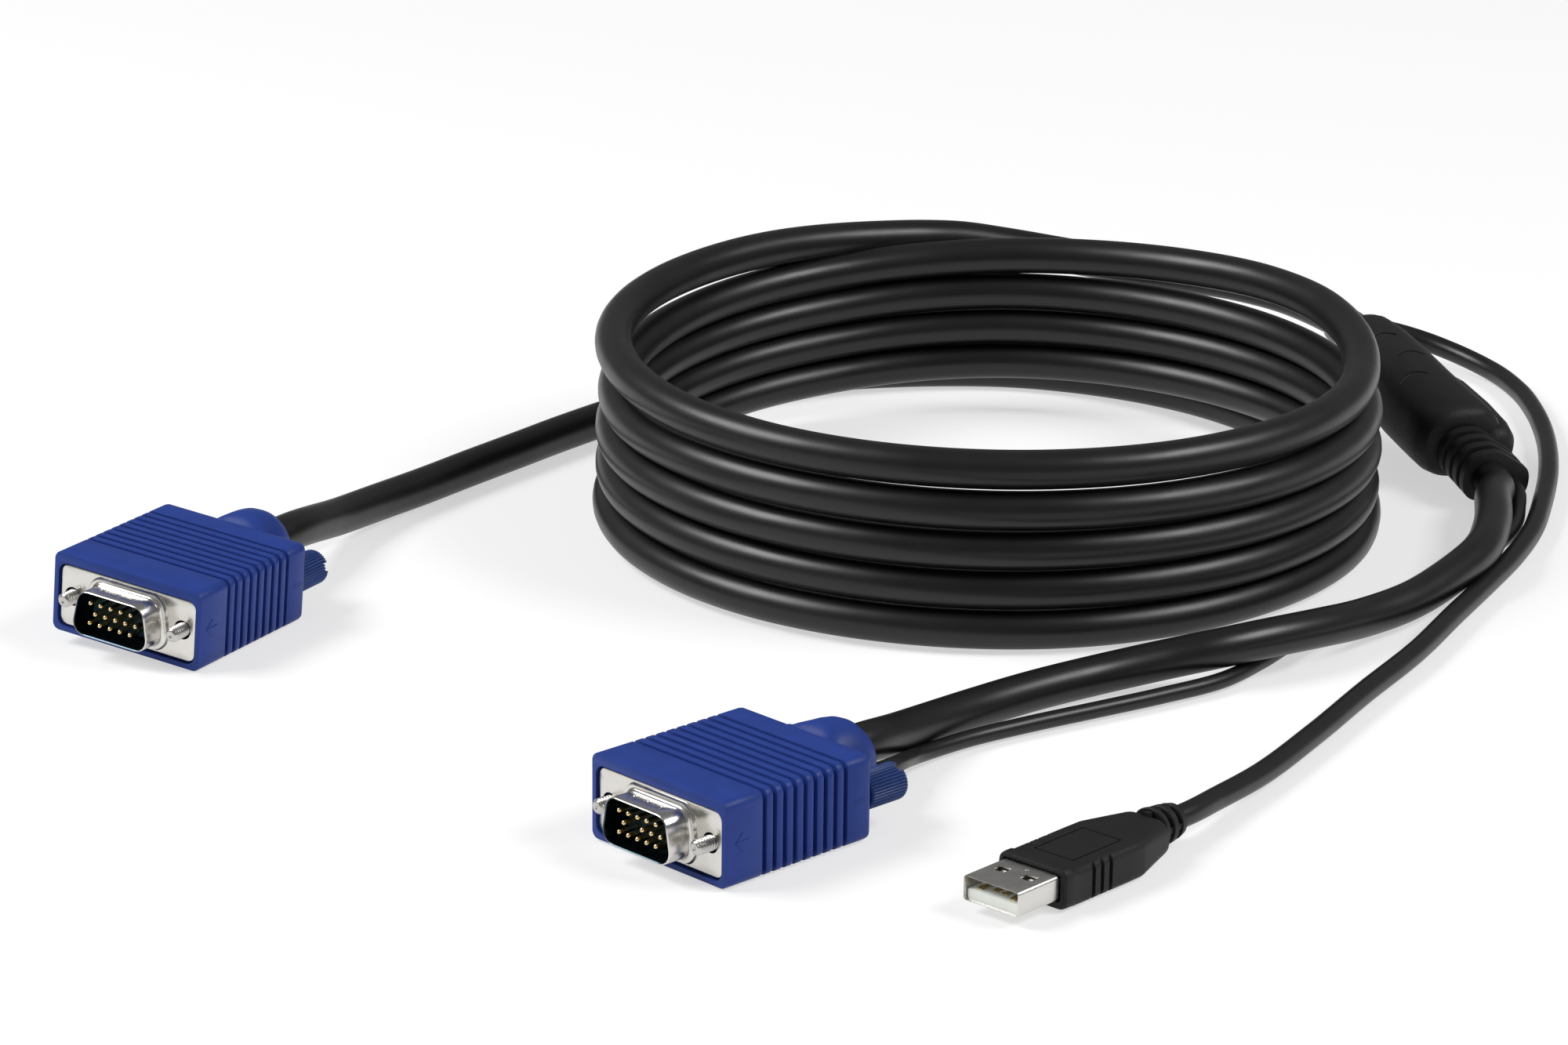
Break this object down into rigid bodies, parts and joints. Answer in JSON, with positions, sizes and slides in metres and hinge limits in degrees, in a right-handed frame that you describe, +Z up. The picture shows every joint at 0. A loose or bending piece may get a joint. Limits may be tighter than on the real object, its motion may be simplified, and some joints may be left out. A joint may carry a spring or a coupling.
{
  "type": "kvm cable",
  "caption": "Coiled KVM cable with a moulded splitter: video plugs with thumbscrews at both ends and a USB plug on its own branch.",
  "frame": {"origin": "centre of the underside of video plug B's hood, on the table", "axes": "+Z up from the table; +Y away from the viewer, towards the coil; +X to the viewer's right, towards the splitter"},
  "size_m": [0.2973, 0.3273, 0.0391],
  "materials": {
    "blue_pvc": "fine-textured moulded navy blue PVC",
    "blue_knob": "satin moulded blue plastic",
    "nickel_plate": "satin nickel plated steel",
    "screw_steel": "nickel plated steel thread",
    "dark_blue_insulator": "dark blue moulded insulator",
    "gold_plate": "gold plated contacts",
    "white_plastic": "white moulded plastic",
    "black_pvc": "fine-grained black moulded PVC",
    "black_jacket": "satin black PVC jacket"
  },
  "bodies": {
    "cable": {"plug_a_hood": "blue_pvc", "plug_a_shell": "nickel_plate", "plug_a_insulator": "dark_blue_insulator", "plug_a_pin_01": "gold_plate", "plug_a_pin_02": "gold_plate", "plug_a_pin_03": "gold_plate", "plug_a_pin_04": "gold_plate", "plug_a_pin_05": "gold_plate", "plug_a_pin_06": "gold_plate", "plug_a_pin_07": "gold_plate", "plug_a_pin_08": "gold_plate", "plug_a_pin_09": "gold_plate", "plug_a_pin_10": "gold_plate", "plug_a_pin_11": "gold_plate", "plug_a_pin_12": "gold_plate", "plug_a_pin_13": "gold_plate", "plug_a_pin_14": "gold_plate", "plug_a_pin_15": "gold_plate", "plug_b_hood": "blue_pvc", "plug_b_shell": "nickel_plate", "plug_b_insulator": "dark_blue_insulator", "plug_b_pin_01": "gold_plate", "plug_b_pin_02": "gold_plate", "plug_b_pin_03": "gold_plate", "plug_b_pin_04": "gold_plate", "plug_b_pin_05": "gold_plate", "plug_b_pin_06": "gold_plate", "plug_b_pin_07": "gold_plate", "plug_b_pin_08": "gold_plate", "plug_b_pin_09": "gold_plate", "plug_b_pin_10": "gold_plate", "plug_b_pin_11": "gold_plate", "plug_b_pin_12": "gold_plate", "plug_b_pin_13": "gold_plate", "plug_b_pin_14": "gold_plate", "usb_shell": "nickel_plate", "usb_tongue": "white_plastic", "usb_contact_1": "gold_plate", "usb_contact_2": "gold_plate", "usb_contact_3": "gold_plate", "usb_contact_4": "gold_plate", "usb_overmould": "black_pvc", "splitter_body": "black_pvc", "coil": "black_jacket", "cable_to_coil": "black_jacket", "cable_from_coil": "black_jacket", "video_branch": "black_jacket", "thin_branch": "black_jacket", "usb_cable": "black_jacket"},
    "plug_a_thumbscrew_left": {"plug_a_screw_left": "screw_steel", "plug_a_knob_left": "blue_knob"},
    "plug_a_thumbscrew_right": {"plug_a_screw_right": "screw_steel", "plug_a_knob_right": "blue_knob"},
    "plug_b_thumbscrew_left": {"plug_b_screw_left": "screw_steel", "plug_b_knob_left": "blue_knob"},
    "plug_b_thumbscrew_right": {"plug_b_screw_right": "screw_steel", "plug_b_knob_right": "blue_knob"}
  },
  "joints": [
    {"name": "plug_a_thumbscrew_left_turn", "type": "hinge", "parent": "cable", "child": "plug_a_thumbscrew_left", "pos_m": [-0.11564, 0.10962, 0.00951], "axis": [0.4985, 0.8669, 0], "continuous": true},
    {"name": "plug_a_thumbscrew_right_turn", "type": "hinge", "parent": "cable", "child": "plug_a_thumbscrew_right", "pos_m": [-0.09403, 0.09719, 0.0075], "axis": [0.4985, 0.8669, 0], "continuous": true},
    {"name": "plug_b_thumbscrew_left_turn", "type": "hinge", "parent": "cable", "child": "plug_b_thumbscrew_left", "pos_m": [-0.00868, 0.00899, 0.0074], "axis": [0.7193, 0.6947, 0], "continuous": true},
    {"name": "plug_b_thumbscrew_right_turn", "type": "hinge", "parent": "cable", "child": "plug_b_thumbscrew_right", "pos_m": [0.00868, -0.00899, 0.0074], "axis": [0.7193, 0.6947, 0], "continuous": true}
  ]
}
